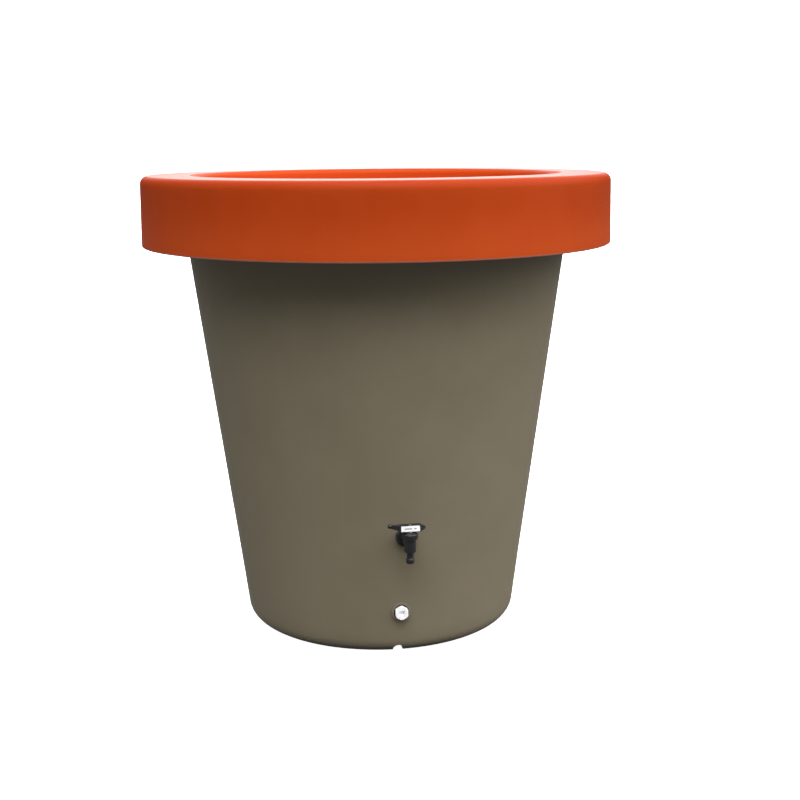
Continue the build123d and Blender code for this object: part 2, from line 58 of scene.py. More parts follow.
# Tank
TANK_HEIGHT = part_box("barrel_body")[1][2]
LIP_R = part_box("barrel_body")[1][0]
TANK_FOOT_R = 0.270
TANK_TAPER = 102 / 766                  # how much the radius grows for each metre up
TANK_WALL = 5 * MM
LIP_THICKNESS = 6 * MM
BOTTOM_FILLET_MM = 30
FOOT_INNER_R = 0.188
BASE_RISE = 12 * MM                     # the base inside the foot ring stands this far off the floor
BASE_SLOPE_WIDTH = 34 * MM
CHANNEL_HALF_WIDTH = 10 * MM
CHANNEL_TOP_Z = 17 * MM
CHANNEL_START_Y = -0.330                # clear of the foot, outside it
CHANNEL_END_Y = -0.180
CHANNEL_BEARING = math.radians(-0.7)
TANK_WAVE_DEPTH = 0.9 * MM
WAVE_START = 30 * MM                    # no waviness nearer to the foot or the lip than this
WAVE_FADE = 100 * MM
WAVE_INNER_R = 20 * MM                  # none so near to the axis either

# Collar lid
LID_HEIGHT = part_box("collar_lid")[1][2]
COLLAR_BOTTOM = LID_HEIGHT - 0.134
COLLAR_R_TOP = 0.456
COLLAR_R_BOTTOM = 0.458
LID_WALL = 5 * MM
HEM_INNER_R = 0.442
BOWL_R_TOP = 0.355
BOWL_R_BOTTOM = 0.336
BOWL_FLOOR_OUTER_Z = 0.754
BOWL_FLOOR_INNER_Z = 0.734
SEAT_R = 0.113
SEAT_Z = 0.722
SEAT_THICKNESS = 5.5 * MM
INLET_R = 0.096
RIB_INNER_R = 0.3745
RIB_OUTER_R = 0.3795
RIB_DEPTH = 15 * MM
LID_WAVE_DEPTH = 0.5 * MM

# Strainer mesh
MESH_MARGIN = 2 * MM                    # hidden in the clamp at the rim
MESH_PITCH = 4 * MM
WIRE_R = 0.28 * MM
WEAVE_LIFT = 0.9                        # how far a wire rises over the others, in wire radii

# Fittings
SPIGOT_BEARING = math.radians(1.1)
SPIGOT_Z = 0.241
SPIGOT_HOLE_R = 10.8 * MM
DRAIN_Z = 0.0885
DRAIN_HOLE_R = 14.05 * MM
DRAIN_FACE_Y = -0.2845
DRAIN_BOSS_R = 18 * MM
DRAIN_PAD_R = 20 * MM                   # the wall behind the boss is thicker inwards
DRAIN_PAD_Y = -0.2625
OVERFLOW_Z = 0.680
OVERFLOW_HOLE_R = 24.2 * MM
LABEL_Z = 0.2734
LABEL_BARS = ((-4.0 * MM, 6.9 * MM), (8.4 * MM, 2.3 * MM))     # middle and half length
BAR_HALF_HEIGHT = 1.1 * MM
BAR_SOFT_EDGE = 0.2 * MM

# Fineness of the meshes and reach of the cutters
ARC_DEGREES = 9
RUN_LENGTH = 8 * MM
ARCH_PARTS = 24
SWEEP_PARTS = 12
CUT_MARGIN = 10 * MM
HOLE_REACH = 30 * MM

# Dust, and painted light and shade
DUST = (0.55, 0.50, 0.42)
# near black, for the painted contact shadow along the foot and the faint darkening above it
FOOT_DARK = (0.010, 0.007, 0.004)
CONTACT_SHADOW_HEIGHT = 6 * MM
CONTACT_SHADOW_AMOUNT = 0.93
# the tank turns faintly darker towards the bottom over this height
FOOT_DARKENING_HEIGHT = 60 * MM
FOOT_DARKENING_AMOUNT = 0.16
# painted shade on the lid's shoulders and upward faces
LID_UPWARD_SHADE = (0.29, 0.022, 0.002)
LID_UPWARD_SHADE_AMOUNT = 0.5
# painted light from the floor on the lower collar
LID_FLOOR_LIGHT = (0.50, 0.075, 0.016)
LID_FLOOR_LIGHT_TOP = LID_HEIGHT - 0.03
LID_FLOOR_LIGHT_AMOUNT = 0.4
# painted light inside the bowl, fading out past its edge
BOWL_PAINTED_LIGHT = (0.46, 0.052, 0.006)
BOWL_LIGHT_FADE = 6 * MM
# painted highlight along the lower edge of the hem
HEM_HIGHLIGHT = (0.78, 0.42, 0.33)
HEM_HIGHLIGHT_HEIGHT = 4 * MM
HEM_HIGHLIGHT_WIDTH = 2 * MM
HEM_HIGHLIGHT_AMOUNT = 0.6
PEEL_DEPTH = 0.12 * MM

# Stage: the floor is level as far as the sweep, which turns it up into a backdrop
STAGE_R = 12.0
STAGE_CENTRE_R = 4.0                    # one more ring of points, to keep the faces short
STAGE_SWEEP = 3.0
STAGE_HEIGHT = 10.0

# Soft light: a big panel above the camera, one to its right, and weak ones all round.
# Each is (azimuth, elevation, cosine where it starts, cosine where it is full, strength).
SOFT_PANELS = [
    (0, 58, 0.85, 1.00, 9.2),
    (90, 40, 0.75, 1.00, 3.7),
    (45, 30, 0.80, 1.00, 1.1),
    (-90, 40, 0.75, 1.00, 1.3),
    (0, 90, 0.70, 0.90, 0.5),
    (180, 50, 0.75, 1.00, 1.2),
    (180, 28, 0.85, 0.985, 3.0),
]
GROUND_GLOW = 0.31
GROUND_EDGE = 0.10                      # sine of the angle under the horizon where it is full


# ---------------------------------------------------------------- camera

def place_camera():
    """A camera in front of the spigot, looking slightly down and rolled a little."""
    position = Vector((-CAMERA_DISTANCE * math.sin(CAMERA_BEARING),
                       -CAMERA_DISTANCE * math.cos(CAMERA_BEARING), CAMERA_HEIGHT))
    turn = CAMERA_YAW + CAMERA_BEARING
    ahead = Vector((math.sin(turn) * math.cos(CAMERA_PITCH), math.cos(turn) * math.cos(CAMERA_PITCH),
                    -math.sin(CAMERA_PITCH)))
    right = Vector((math.cos(turn), -math.sin(turn), 0))
    up = right.cross(ahead)
    level, lean = math.cos(CAMERA_ROLL), math.sin(CAMERA_ROLL)
    right, up = level * right + lean * up, level * up - lean * right
    data = bpy.data.cameras.new("camera")
    data.lens = CAMERA_LENS
    data.sensor_width = 36.0
    data.clip_end = 100
    camera = bpy.data.objects.new("camera", data)
    bpy.context.scene.collection.objects.link(camera)
    basis = Matrix((right, up, -ahead)).transposed().to_4x4()
    camera.matrix_world = Matrix.Translation(position) @ basis
    bpy.context.scene.camera = camera


# ---------------------------------------------------------------- outlines and meshes

def rounded(corners, closed=False):
    """A dense (r, z) outline from corners (r, z, rounding in mm): arcs, and divided runs."""
    points = [Vector((r, z)) for r, z, _ in corners]
    arcs = []
    for index, here in enumerate(points):
        radius = corners[index][2] * MM
        if radius == 0:
            arcs.append([here])
            continue
        before = (points[index - 1] - here).normalized()
        after = (points[(index + 1) % len(points)] - here).normalized()
        half = before.angle(after) / 2
        reach = radius / math.tan(half)
        centre = here + (before + after).normalized() * (radius / math.sin(half))
        first = here + before * reach - centre
        last = here + after * reach - centre
        turn = first.angle_signed(last)
        parts = max(3, int(math.degrees(abs(turn)) / ARC_DEGREES))
        arcs.append([centre + Matrix.Rotation(-turn * part / parts, 2) @ first
                     for part in range(parts + 1)])
    dense = []
    following = arcs[1:] + (arcs[:1] if closed else [])
    for arc, next_arc in zip(arcs, following):
        start, end = arc[-1], next_arc[0]
        parts = max(1, int((end - start).length / RUN_LENGTH))
        dense.extend(arc)
        dense.extend(start.lerp(end, part / parts) for part in range(1, parts))
    if not closed:
        dense.extend(arcs[-1])
    return dense


def new_object(name, bm):
    mesh = bpy.data.meshes.new(name)
    bm.to_mesh(mesh)
    bm.free()
    piece = bpy.data.objects.new(name, mesh)
    bpy.context.scene.collection.objects.link(piece)
    return piece


def lathe(name, outline, segments=256, closed=False, shape=None):
    """Solid of revolution about Z from an (r, z) outline; shape may move each point."""
    bm = bmesh.new()
    rings = []
    for r, z in outline:
        on_axis = r < 1e-6
        if on_axis:
            rings.append([bm.verts.new((0, 0, z))])
            continue
        ring = []
        for index in range(segments):
            angle = 2 * math.pi * index / segments
            point = Vector((r * math.cos(angle), r * math.sin(angle), z))
            if shape:
                point = shape(point)
            ring.append(bm.verts.new(point))
        rings.append(ring)
    pairs = list(zip(rings, rings[1:]))
    if closed:
        pairs.append((rings[-1], rings[0]))
    for low, high in pairs:
        for index in range(segments):
            after = (index + 1) % segments
            if len(low) == 1:
                bm.faces.new((low[0], high[after], high[index]))
            elif len(high) == 1:
                bm.faces.new((low[index], low[after], high[0]))
            else:
                bm.faces.new((low[index], low[after], high[after], high[index]))
    bmesh.ops.recalc_face_normals(bm, faces=bm.faces)
    return new_object(name, bm)


def apply_modifiers(piece):
    graph = bpy.context.evaluated_depsgraph_get()
    mesh = bpy.data.meshes.new_from_object(piece.evaluated_get(graph))
    piece.modifiers.clear()
    old = piece.data
    piece.data = mesh
    bpy.data.meshes.remove(old)


def combine(piece, operation, *others):
    """Join others to a piece (UNION) or cut them out of it (DIFFERENCE), and use them up."""
    for other in others:
        modifier = piece.modifiers.new("combine", "BOOLEAN")
        modifier.operation = operation
        modifier.solver = "EXACT"
        modifier.object = other
        bpy.context.view_layer.update()
        apply_modifiers(piece)
        bpy.data.objects.remove(other)


def rod_along_y(name, radius, y_from, y_to, z, bearing=0.0):
    """A cylinder along Y, turned about Z to a bearing."""
    bm = bmesh.new()
    bmesh.ops.create_cone(bm, cap_ends=True, segments=64, radius1=radius, radius2=radius,
                          depth=y_to - y_from)
    place = Matrix.Translation((0, (y_from + y_to) / 2, z)) @ Matrix.Rotation(math.radians(90), 4, "X")
    bmesh.ops.transform(bm, matrix=Matrix.Rotation(bearing, 4, "Z") @ place, verts=bm.verts)
    return new_object(name, bm)


def smooth(piece, angle):
    for polygon in piece.data.polygons:
        polygon.use_smooth = True
    piece.data.set_sharp_from_angle(angle=math.radians(angle))


def moulded_wave(point, depth):
    """The slight inward waviness that a rotationally moulded wall has."""
    outwards = Vector((point.x, point.y, 0))
    if outwards.length < WAVE_INNER_R:
        return point
    broad = noise.noise(Vector((point.x * 4, point.y * 4, point.z * 3 + 7)))
    fine = noise.noise(Vector((point.x * 17, point.y * 17, point.z * 12 + 31)))
    amount = depth * (0.55 + 0.35 * broad + 0.1 * fine)
    return point - outwards.normalized() * amount


# ---------------------------------------------------------------- materials

class Nodes:
    """Shorthand for building a material's node tree."""

    def __init__(self, name):
        self.material = bpy.data.materials.new(name)
        self.material.use_nodes = True
        self.tree = self.material.node_tree
        self.shader = self.tree.nodes["Principled BSDF"]
        self.place = self.add("ShaderNodeTexCoord").outputs["Object"]

    def add(self, kind, **settings):
        node = self.tree.nodes.new(kind)
        for key, value in settings.items():
            setattr(node, key, value)
        return node

    def feed(self, value, socket):
        if isinstance(value, bpy.types.NodeSocket):
            self.tree.links.new(value, socket)
        else:
            socket.default_value = value

    def stretched(self, scale):
        node = self.add("ShaderNodeMapping")
        self.feed(self.place, node.inputs["Vector"])
        node.inputs["Scale"].default_value = scale
        return node.outputs["Vector"]

    def noise(self, scale, detail=3.0, roughness=0.5, vector=None, distortion=0.0):
        node = self.add("ShaderNodeTexNoise")
        self.feed(vector or self.place, node.inputs["Vector"])
        node.inputs["Scale"].default_value = scale
        node.inputs["Detail"].default_value = detail
        node.inputs["Roughness"].default_value = roughness
        node.inputs["Distortion"].default_value = distortion
        return node.outputs["Fac"]

    def cells(self, scale):
        node = self.add("ShaderNodeTexVoronoi")
        self.feed(self.place, node.inputs["Vector"])
        node.inputs["Scale"].default_value = scale
        return node.outputs["Distance"]

    def math(self, operation, a, b=0.0):
        node = self.add("ShaderNodeMath", operation=operation)
        self.feed(a, node.inputs[0])
        self.feed(b, node.inputs[1])
        return node.outputs[0]

    def span(self, value, low, high, to_low=0.0, to_high=1.0):
        """Map low..high smoothly to to_low..to_high."""
        node = self.add("ShaderNodeMapRange", interpolation_type="SMOOTHSTEP")
        self.feed(value, node.inputs["Value"])
        node.inputs["From Min"].default_value = low
        node.inputs["From Max"].default_value = high
        node.inputs["To Min"].default_value = to_low
        node.inputs["To Max"].default_value = to_high
        return node.outputs["Result"]

    def mix(self, amount, a, b):
        """From colour a to colour b."""
        node = self.add("ShaderNodeMix", data_type="RGBA")
        self.feed(amount, node.inputs[0])
        self.feed(self.colour(a), node.inputs[6])
        self.feed(self.colour(b), node.inputs[7])
        return node.outputs[2]

    def tint(self, colour, other, mask, amount):
        """The colour turned towards another by an amount where the mask is 1."""
        return self.mix(self.math("MULTIPLY", mask, amount), colour, other)

    def colour(self, value):
        """A socket as it is, or three numbers with an alpha of 1."""
        if isinstance(value, bpy.types.NodeSocket):
            return value
        return (*value, 1.0)

    def height_above(self):
        """Height above the floor."""
        node = self.add("ShaderNodeSeparateXYZ")
        self.feed(self.place, node.inputs[0])
        return node.outputs["Z"]

    def along(self, direction):
        """Distance along a fixed direction of the piece."""
        node = self.add("ShaderNodeVectorMath", operation="DOT_PRODUCT")
        self.feed(self.place, node.inputs[0])
        node.inputs[1].default_value = direction
        return node.outputs["Value"]

    def distance_out(self):
        """Distance from the barrel's upright axis."""
        node = self.add("ShaderNodeVectorMath", operation="LENGTH")
        self.feed(self.stretched((1.0, 1.0, 0.0)), node.inputs[0])
        return node.outputs["Value"]

    def facing_up(self):
        """1 on level tops, 0 on upright walls, -1 underneath."""
        node = self.add("ShaderNodeSeparateXYZ")
        self.feed(self.add("ShaderNodeNewGeometry").outputs["Normal"], node.inputs[0])
        return node.outputs["Z"]

    def stripe(self, value, middle, half, soft):
        """1 within half of the middle, falling to 0 over a soft edge."""
        away = self.math("ABSOLUTE", self.math("SUBTRACT", value, middle))
        return self.span(away, half - soft, half + soft, 1.0, 0.0)

    def bump(self, strength, *layers):
        """Bump nodes in a chain, one for each layer (height, distance)."""
        normal = None
        for height, distance in layers:
            node = self.add("ShaderNodeBump")
            node.inputs["Strength"].default_value = strength
            node.inputs["Distance"].default_value = distance
            self.feed(height, node.inputs["Height"])
            if normal:
                self.feed(normal, node.inputs["Normal"])
            normal = node.outputs["Normal"]
        self.feed(normal, self.shader.inputs["Normal"])

    def finish(self, colour, roughness, **constants):
        self.feed(colour, self.shader.inputs["Base Color"])
        self.feed(roughness, self.shader.inputs["Roughness"])
        for key, value in constants.items():
            self.shader.inputs[key.replace("_", " ")].default_value = value
        return self.material


def darken_tank_foot(nodes, colour):
    """Painted contact shadow: a dark line at the floor, and a faint darkening towards the bottom above
    it.
    """
    # darker towards the bottom
    foot_darkening = nodes.span(nodes.height_above(), 0.0, FOOT_DARKENING_HEIGHT, FOOT_DARKENING_AMOUNT, 0.0)
    # painted contact shadow: the lowest few millimetres turn near black
    contact_shadow = nodes.span(nodes.height_above(), CONTACT_SHADOW_HEIGHT, 3 * CONTACT_SHADOW_HEIGHT, CONTACT_SHADOW_AMOUNT, 0.0)
    colour = nodes.mix(foot_darkening, colour, FOOT_DARK)
    return nodes.mix(contact_shadow, colour, FOOT_DARK)


def paint_lid_light_and_shade(nodes, colour):
    """Painted light and shade: deeper, darker shoulders and tops as painted shade, a paler lower collar
    as painted light from the floor, a bright bowl as painted light, a pale painted highlight on the edge
    under the hem.
    """
    # painted shade: shoulders and upward faces darker and deeper in colour
    upward_shade = nodes.span(nodes.facing_up(), 0.1, 0.5, 0.0, LID_UPWARD_SHADE_AMOUNT)
    colour = nodes.mix(upward_shade, colour, LID_UPWARD_SHADE)
    # painted light from the floor: the collar paler towards its bottom
    floor_light = nodes.span(nodes.height_above(), COLLAR_BOTTOM, LID_FLOOR_LIGHT_TOP, LID_FLOOR_LIGHT_AMOUNT, 0.0)
    colour = nodes.mix(floor_light, colour, LID_FLOOR_LIGHT)
    # painted light: the bowl's inside brighter
    bowl_light = nodes.span(nodes.distance_out(), BOWL_R_TOP, BOWL_R_TOP + BOWL_LIGHT_FADE, 1.0, 0.0)
    colour = nodes.mix(bowl_light, colour, BOWL_PAINTED_LIGHT)
    # painted highlight: a pale line along the lower edge of the hem
    low = nodes.span(nodes.height_above(), COLLAR_BOTTOM, COLLAR_BOTTOM + HEM_HIGHLIGHT_HEIGHT, 1.0, 0.0)
    outer = nodes.span(nodes.distance_out(), HEM_INNER_R - HEM_HIGHLIGHT_WIDTH, HEM_INNER_R)
    return nodes.tint(colour, HEM_HIGHLIGHT, nodes.math("MULTIPLY", low, outer), HEM_HIGHLIGHT_AMOUNT)


def moulded_plastic(name, base, light, dark, rough, gloss, painted_shading, top_rough=None):
    """Rotationally moulded plastic: cloudy pigment, fine specks, scuffs, orange-peel skin."""
    nodes = Nodes(name)
    cloud = nodes.noise(scale=7.0, detail=4, roughness=0.55)
    streaks = nodes.noise(scale=3.0, detail=3, roughness=0.6, vector=nodes.stretched((9.0, 9.0, 0.6)))
    specks = nodes.span(nodes.noise(scale=900.0, detail=1), 0.55, 0.72)
    scratches = nodes.noise(scale=34.0, detail=6, roughness=0.75, vector=nodes.stretched((1.0, 1.0, 3.0)))
    scuffed_areas = nodes.span(nodes.noise(scale=2.3, detail=2), 0.52, 0.66)
    scuffs = nodes.math("MULTIPLY", nodes.span(scratches, 0.66, 0.74), scuffed_areas)
    dusty_tops = nodes.span(nodes.facing_up(), 0.75, 1.0)
    dust = nodes.math("MULTIPLY", dusty_tops, nodes.span(cloud, 0.35, 0.7))

    colour = nodes.mix(nodes.span(cloud, 0.3, 0.7), dark, light)
    colour = nodes.mix(0.62, colour, base)
    colour = nodes.tint(colour, light, nodes.span(streaks, 0.5, 0.8), 0.22)
    colour = nodes.tint(colour, dark, specks, 0.25)
    colour = nodes.tint(colour, light, scuffs, 0.35)
    colour = nodes.tint(colour, DUST, dust, 0.05)
    # painted light and shade, from the function given for this plastic
    colour = painted_shading(nodes, colour)

    fine = nodes.noise(scale=260.0, detail=2, roughness=0.6)
    roughness = nodes.math("ADD", nodes.span(cloud, 0.3, 0.7, rough - 0.04, rough + 0.04),
                           nodes.span(fine, 0.3, 0.7, -0.03, 0.03))
    roughness = nodes.math("ADD", roughness, nodes.math("MULTIPLY", scuffs, 0.12))
    if top_rough:
        washed = nodes.span(nodes.facing_up(), 0.955, 0.99, 0.0, top_rough - rough)
        roughness = nodes.math("ADD", roughness, washed)

    ripple = nodes.noise(scale=60.0, detail=2)
    peel = nodes.noise(scale=420.0, detail=2)
    pores = nodes.cells(scale=700.0)
    nodes.bump(0.7, (ripple, 2.2 * PEEL_DEPTH), (peel, PEEL_DEPTH), (pores, 0.5 * PEEL_DEPTH))
    return nodes.finish(colour, roughness, Specular_IOR_Level=gloss)


def fitting_plastic(name, base, light, rough):
    """Injection-moulded plastic for small fittings: flow marks, fine texture, rubbed edges."""
    nodes = Nodes(name)
    swirl = nodes.noise(scale=45.0, detail=4, roughness=0.6, distortion=1.2)
    fine = nodes.noise(scale=1400.0, detail=2, roughness=0.6)
    edges = nodes.span(nodes.add("ShaderNodeNewGeometry").outputs["Pointiness"], 0.52, 0.62)
    rubbed = nodes.math("MULTIPLY", edges, nodes.span(nodes.noise(scale=300.0), 0.4, 0.7))
    rubbed_colour = [min(1, 2.2 * channel + 0.02) for channel in light]
    colour = nodes.mix(nodes.span(swirl, 0.35, 0.75), base, light)
    colour = nodes.tint(colour, rubbed_colour, rubbed, 0.5)
    texture = nodes.math("ADD", nodes.math("MULTIPLY", swirl, 0.6), nodes.math("MULTIPLY", fine, 0.4))
    nodes.bump(0.6, (fine, 0.03 * MM), (nodes.noise(scale=220.0, detail=2), 0.05 * MM))
    return nodes.finish(colour, nodes.span(texture, 0.3, 0.7, rough - 0.07, rough + 0.08))


def rubber(name):
    """Black seal rubber with a grey bloom."""
    nodes = Nodes(name)
    bloom = nodes.span(nodes.noise(scale=120.0, detail=4, roughness=0.6), 0.4, 0.75)
    colour = nodes.mix(bloom, (0.012, 0.012, 0.012), (0.045, 0.043, 0.04))
    nodes.bump(0.6, (nodes.noise(scale=1600.0, detail=2), 0.03 * MM))
    return nodes.finish(colour, nodes.span(bloom, 0.0, 1.0, 0.72, 0.86))


def metal(name, base, light, rough):
    """Turned or drawn metal: fine tool marks round the upright axis, and dull stains."""
    nodes = Nodes(name)
    brushed = nodes.noise(scale=1.0, detail=3, roughness=0.6, vector=nodes.stretched((40.0, 40.0, 900.0)))
    stain = nodes.noise(scale=90.0, detail=4, roughness=0.6)
    stain_colour = [0.6 * channel for channel in base]
    colour = nodes.mix(nodes.span(brushed, 0.35, 0.65), base, light)
    colour = nodes.tint(colour, stain_colour, nodes.span(stain, 0.55, 0.75), 0.3)
    nodes.bump(0.5, (brushed, 0.02 * MM))
    return nodes.finish(colour, nodes.span(stain, 0.3, 0.7, rough - 0.08, rough + 0.1), Metallic=1.0)


def printed_label(name):
    """White label: slightly yellowed gloss film with two plain grey bars."""
    nodes = Nodes(name)
    age = nodes.noise(scale=80.0, detail=3, roughness=0.6)
    colour = nodes.mix(nodes.span(age, 0.3, 0.8), (0.9, 0.89, 0.91), (0.8, 0.79, 0.78))
    along = nodes.along((math.cos(SPIGOT_BEARING), math.sin(SPIGOT_BEARING), 0.0))
    band = nodes.stripe(nodes.height_above(), LABEL_Z, BAR_HALF_HEIGHT, BAR_SOFT_EDGE)
    for middle, half in LABEL_BARS:
        bar = nodes.math("MULTIPLY", nodes.stripe(along, middle, half, BAR_SOFT_EDGE), band)
        ink = nodes.span(age, 0.2, 0.8, 0.9, 0.7)
        colour = nodes.tint(colour, (0.10, 0.10, 0.11), bar, ink)
    nodes.bump(0.5, (nodes.noise(scale=300.0, detail=2), 0.03 * MM))
    return nodes.finish(colour, nodes.span(age, 0.3, 0.7, 0.28, 0.4))


def floor_paint(name):
    nodes = Nodes(name)
    patch = nodes.noise(scale=1.1)
    colour = nodes.mix(patch, (0.80, 0.80, 0.80), (0.84, 0.84, 0.84))
    return nodes.finish(colour, 0.8, Emission_Color=(1, 1, 1, 1), Emission_Strength=1.0)


def dress(piece, material):
    piece.data.materials.clear()
    piece.data.materials.append(material)


TANK_PLASTIC = moulded_plastic("tank_plastic", base=(0.175, 0.150, 0.101), light=(0.192, 0.166, 0.113),
                               dark=(0.160, 0.136, 0.090), rough=0.5, gloss=0.15, painted_shading=darken_tank_foot)
LID_PLASTIC = moulded_plastic("lid_plastic", base=(0.352, 0.040, 0.0045), light=(0.385, 0.048, 0.007),
                              dark=(0.32, 0.034, 0.0035), rough=0.48, gloss=0.06, painted_shading=paint_lid_light_and_shade,
                              top_rough=0.2)
SPIGOT_PLASTIC = fitting_plastic("spigot_plastic", (0.006, 0.006, 0.007), (0.013, 0.013, 0.016), 0.34)
FRAME_PLASTIC = fitting_plastic("frame_plastic", (0.012, 0.012, 0.012), (0.03, 0.03, 0.03), 0.45)
WHITE_PLASTIC = fitting_plastic("white_plastic", (0.80, 0.80, 0.82), (0.88, 0.88, 0.89), 0.32)
LABEL_WHITE = printed_label("label_white")
STEEL = metal("steel", (0.52, 0.52, 0.51), (0.66, 0.66, 0.65), 0.3)
BRASS = metal("brass_insert", (0.62, 0.42, 0.17), (0.78, 0.57, 0.27), 0.3)
SEAL_RUBBER = rubber("seal_rubber")
FLOOR_PAINT = floor_paint("floor_paint")


# ---------------------------------------------------------------- tank

def tank_radius(z, inset=0.0):
    return TANK_FOOT_R + TANK_TAPER * z - inset * math.hypot(1, TANK_TAPER)


def tank_wave(point):
    """Waviness fades out at the foot and at the lip, where the tank touches other things."""
    from_foot = min(1, max(0, (point.z - WAVE_START) / WAVE_FADE))
    from_lip = min(1, max(0, (TANK_HEIGHT - WAVE_START - point.z) / WAVE_FADE))
    return moulded_wave(point, TANK_WAVE_DEPTH * from_foot * from_lip)


def channel_arch(name, extra):
    """Cutter: the arch-shaped drain channel, thickened by an extra amount all round."""
    half_width = CHANNEL_HALF_WIDTH + extra
    crown_z = CHANNEL_TOP_Z - CHANNEL_HALF_WIDTH
    outline = [(half_width, -CUT_MARGIN)]
    for part in range(ARCH_PARTS + 1):
        angle = math.pi * part / ARCH_PARTS
        outline.append((half_width * math.cos(angle), crown_z + half_width * math.sin(angle)))
    outline.append((-half_width, -CUT_MARGIN))
    bm = bmesh.new()
    near = [bm.verts.new((x, CHANNEL_START_Y, z)) for x, z in outline]
    far = [bm.verts.new((x, CHANNEL_END_Y + extra, z)) for x, z in outline]
    bm.faces.new(near)
    bm.faces.new(far[::-1])
    for index in range(len(outline)):
        after = (index + 1) % len(outline)
        bm.faces.new((near[after], near[index], far[index], far[after]))
    bmesh.ops.recalc_face_normals(bm, faces=bm.faces)
    bmesh.ops.transform(bm, matrix=Matrix.Rotation(CHANNEL_BEARING, 4, "Z"), verts=bm.verts)
    return new_object(name, bm)


def wall_hole(name, radius, z, side, bearing=0.0):
    """Cutter: a round hole through the tank's wall; side is -1 for the front, 1 for the rear."""
    middle = side * tank_radius(z)
    return rod_along_y(name, radius, middle - HOLE_REACH, middle + HOLE_REACH, z, bearing)


def build_tank():
    """A filled-in tank with the drain boss on its wall, less its inside, the channel and the holes."""
    lip_z = TANK_HEIGHT - LIP_THICKNESS
    outside = rounded([
        (0, BASE_RISE, 0),
        (FOOT_INNER_R - BASE_SLOPE_WIDTH, BASE_RISE, 20),
        (FOOT_INNER_R, 0, 6),
        (TANK_FOOT_R, 0, BOTTOM_FILLET_MM),
        (tank_radius(lip_z), lip_z, 5),
        (LIP_R, lip_z, 2.2),
        (LIP_R, TANK_HEIGHT, 2.8),
        (0, TANK_HEIGHT, 0),
    ])
    floor = TANK_WALL
    foot_r = FOOT_INNER_R + 2 * MM
    top = TANK_HEIGHT + CUT_MARGIN
    inside = rounded([
        (0, BASE_RISE + floor, 0),
        (foot_r - BASE_SLOPE_WIDTH, BASE_RISE + floor, 15),
        (foot_r, floor, 10),
        (tank_radius(floor, TANK_WALL), floor, BOTTOM_FILLET_MM - TANK_WALL / MM),
        (tank_radius(top, TANK_WALL), top, 0),
        (0, top, 0),
    ])
    tank = lathe("tank_shell", outside, shape=tank_wave)
    void = lathe("tank_void", inside, shape=tank_wave)
    combine(void, "DIFFERENCE",
            channel_arch("channel_wall", TANK_WALL),
            rod_along_y("drain_pad", DRAIN_PAD_R, DRAIN_FACE_Y, DRAIN_PAD_Y, DRAIN_Z))
    combine(tank, "UNION",
            rod_along_y("drain_boss", DRAIN_BOSS_R, DRAIN_FACE_Y, DRAIN_PAD_Y, DRAIN_Z))
    combine(tank, "DIFFERENCE",
            void,
            channel_arch("channel", 0),
            wall_hole("spigot_hole", SPIGOT_HOLE_R, SPIGOT_Z, -1, SPIGOT_BEARING),
            wall_hole("drain_hole", DRAIN_HOLE_R, DRAIN_Z, -1),
            wall_hole("overflow_hole", OVERFLOW_HOLE_R, OVERFLOW_Z, 1))
    smooth(tank, 40)
    dress(tank, TANK_PLASTIC)
    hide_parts("barrel_body")
    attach(tank, "tank")


# ---------------------------------------------------------------- collar lid

def lid_wave(point):
    return moulded_wave(point, LID_WAVE_DEPTH)


def build_lid():
    """One even wall all round: collar, flat ring, bowl, strainer seat, and a rib over the tank."""
    wall = LID_WALL
    under = LID_HEIGHT - wall
    wall_slope = (BOWL_R_TOP - BOWL_R_BOTTOM) / (LID_HEIGHT - BOWL_FLOOR_OUTER_Z)
    floor_slope = (BOWL_FLOOR_OUTER_Z - BOWL_FLOOR_INNER_Z) / (BOWL_R_BOTTOM - SEAT_R)
    back_top = BOWL_R_TOP + wall * math.hypot(1, wall_slope)
    under_floor = BOWL_FLOOR_INNER_Z - wall * math.hypot(1, floor_slope)
    seat_under = SEAT_Z - SEAT_THICKNESS
    seat_back_r = SEAT_R + wall
    seat_back_z = under_floor + floor_slope * wall
    drop = LID_HEIGHT - under_floor + floor_slope * SEAT_R
    corner_r = (back_top - wall_slope * drop) / (1 - wall_slope * floor_slope)
    corner_z = under_floor + floor_slope * (corner_r - SEAT_R)
    outline = rounded([
        (HEM_INNER_R, COLLAR_BOTTOM, 1.5),
        (COLLAR_R_BOTTOM, COLLAR_BOTTOM, 3.5),
        (COLLAR_R_TOP, LID_HEIGHT, 16),
        (BOWL_R_TOP, LID_HEIGHT, 12),
        (BOWL_R_BOTTOM, BOWL_FLOOR_OUTER_Z, 22),
        (SEAT_R, BOWL_FLOOR_INNER_Z, 2),
        (SEAT_R, SEAT_Z, 0.8),
        (INLET_R, SEAT_Z, 1),
        (INLET_R, seat_under, 1),
        (seat_back_r, seat_under, 3),
        (seat_back_r, seat_back_z, 1),
        (corner_r, corner_z, 27),
        (back_top - wall_slope * wall, under, 7),
        (RIB_INNER_R, under, 1),
        (RIB_INNER_R, under - RIB_DEPTH, 1.5),
        (RIB_OUTER_R, under - RIB_DEPTH, 1.5),
        (RIB_OUTER_R, under, 1),
        (COLLAR_R_TOP - wall, under, 11),
        (COLLAR_R_BOTTOM - wall, COLLAR_BOTTOM + wall, 2),
        (HEM_INNER_R, COLLAR_BOTTOM + wall, 1.5),
    ], closed=True)
    lid = lathe("collar_lid_shell", outline, segments=320, closed=True, shape=lid_wave)
    smooth(lid, 40)
    dress(lid, LID_PLASTIC)
    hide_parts("collar_lid")
    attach(lid, "lid")


# ---------------------------------------------------------------- strainer mesh

